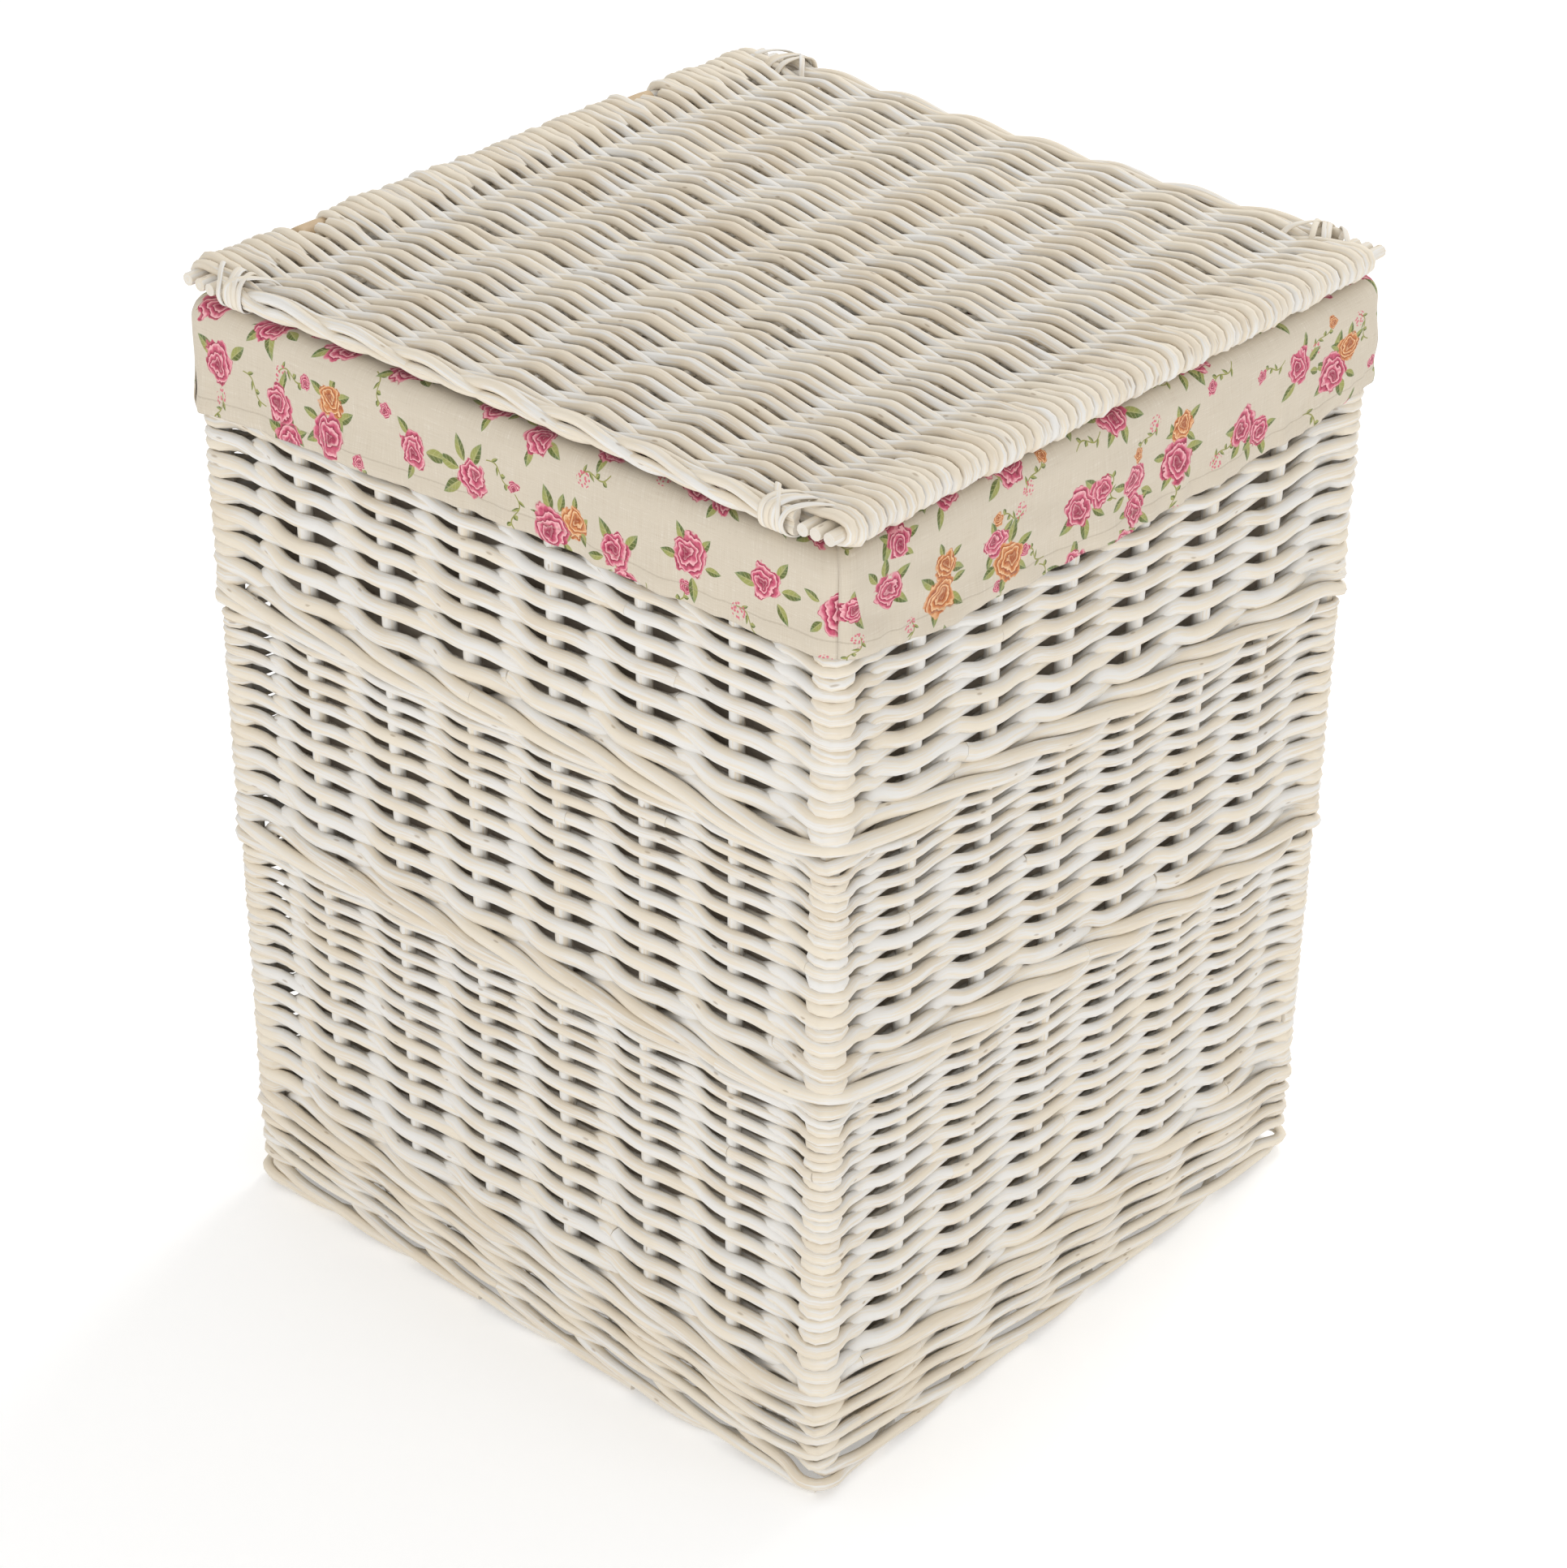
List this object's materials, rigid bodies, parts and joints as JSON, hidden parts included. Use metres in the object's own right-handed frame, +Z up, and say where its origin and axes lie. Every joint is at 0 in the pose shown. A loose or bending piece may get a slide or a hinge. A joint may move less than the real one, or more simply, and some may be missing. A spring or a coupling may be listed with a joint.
{
  "type": "laundry basket",
  "caption": "Square woven willow laundry basket with a flat hinged lid and a fabric lining that folds over the rim.",
  "frame": {"origin": "on the floor, under the middle of the basket", "axes": "+Z up; the front, where the lid opens, faces -Y; the hinge loops are along the top edge at +Y; +X is to the right seen from the front"},
  "size_m": [0.4472, 0.447, 0.5795],
  "materials": {
    "willow_weave": "white-washed, matte",
    "willow_rods": "white-washed, matte",
    "willow_skein": "white-washed, matte",
    "strap": "smooth, matte",
    "lining_cloth": "printed plain-weave cotton"
  },
  "bodies": {
    "basket": {"foot_border": "willow_weave", "base_wale": "willow_weave", "base_weave": "willow_weave", "base_sticks": "willow_rods", "front_stakes": "willow_rods", "back_stakes": "willow_rods", "left_stakes": "willow_rods", "right_stakes": "willow_rods", "front_left_post": "willow_rods", "front_right_post": "willow_rods", "back_left_post": "willow_rods", "back_right_post": "willow_rods", "front_lower_weave": "willow_weave", "front_middle_weave": "willow_weave", "front_upper_weave": "willow_weave", "back_lower_weave": "willow_weave", "back_middle_weave": "willow_weave", "back_upper_weave": "willow_weave", "left_lower_weave": "willow_weave", "left_middle_weave": "willow_weave", "left_upper_weave": "willow_weave", "right_lower_weave": "willow_weave", "right_middle_weave": "willow_weave", "right_upper_weave": "willow_weave", "top_border": "willow_weave", "left_hinge_loop": "strap", "right_hinge_loop": "strap", "lining_front": "lining_cloth", "lining_back": "lining_cloth", "lining_left": "lining_cloth", "lining_right": "lining_cloth", "lining_floor": "lining_cloth", "lining_elastic": "lining_cloth"},
    "lid": {"lid_weave": "willow_weave", "lid_cross_sticks": "willow_rods", "lid_front_sticks": "willow_rods", "lid_back_sticks": "willow_rods", "lid_hinge_stick": "willow_rods", "lid_left_edge_rods": "willow_rods", "lid_right_edge_rods": "willow_rods", "lid_front_left_binding": "willow_skein", "lid_front_right_binding": "willow_skein", "lid_back_left_binding": "willow_skein", "lid_back_right_binding": "willow_skein"}
  },
  "joints": [
    {"name": "lid_hinge", "type": "hinge", "parent": "basket", "child": "lid", "pos_m": [0, 0.214, 0.57], "axis": [-1, 0, 0], "range_deg": [0, 110]}
  ]
}
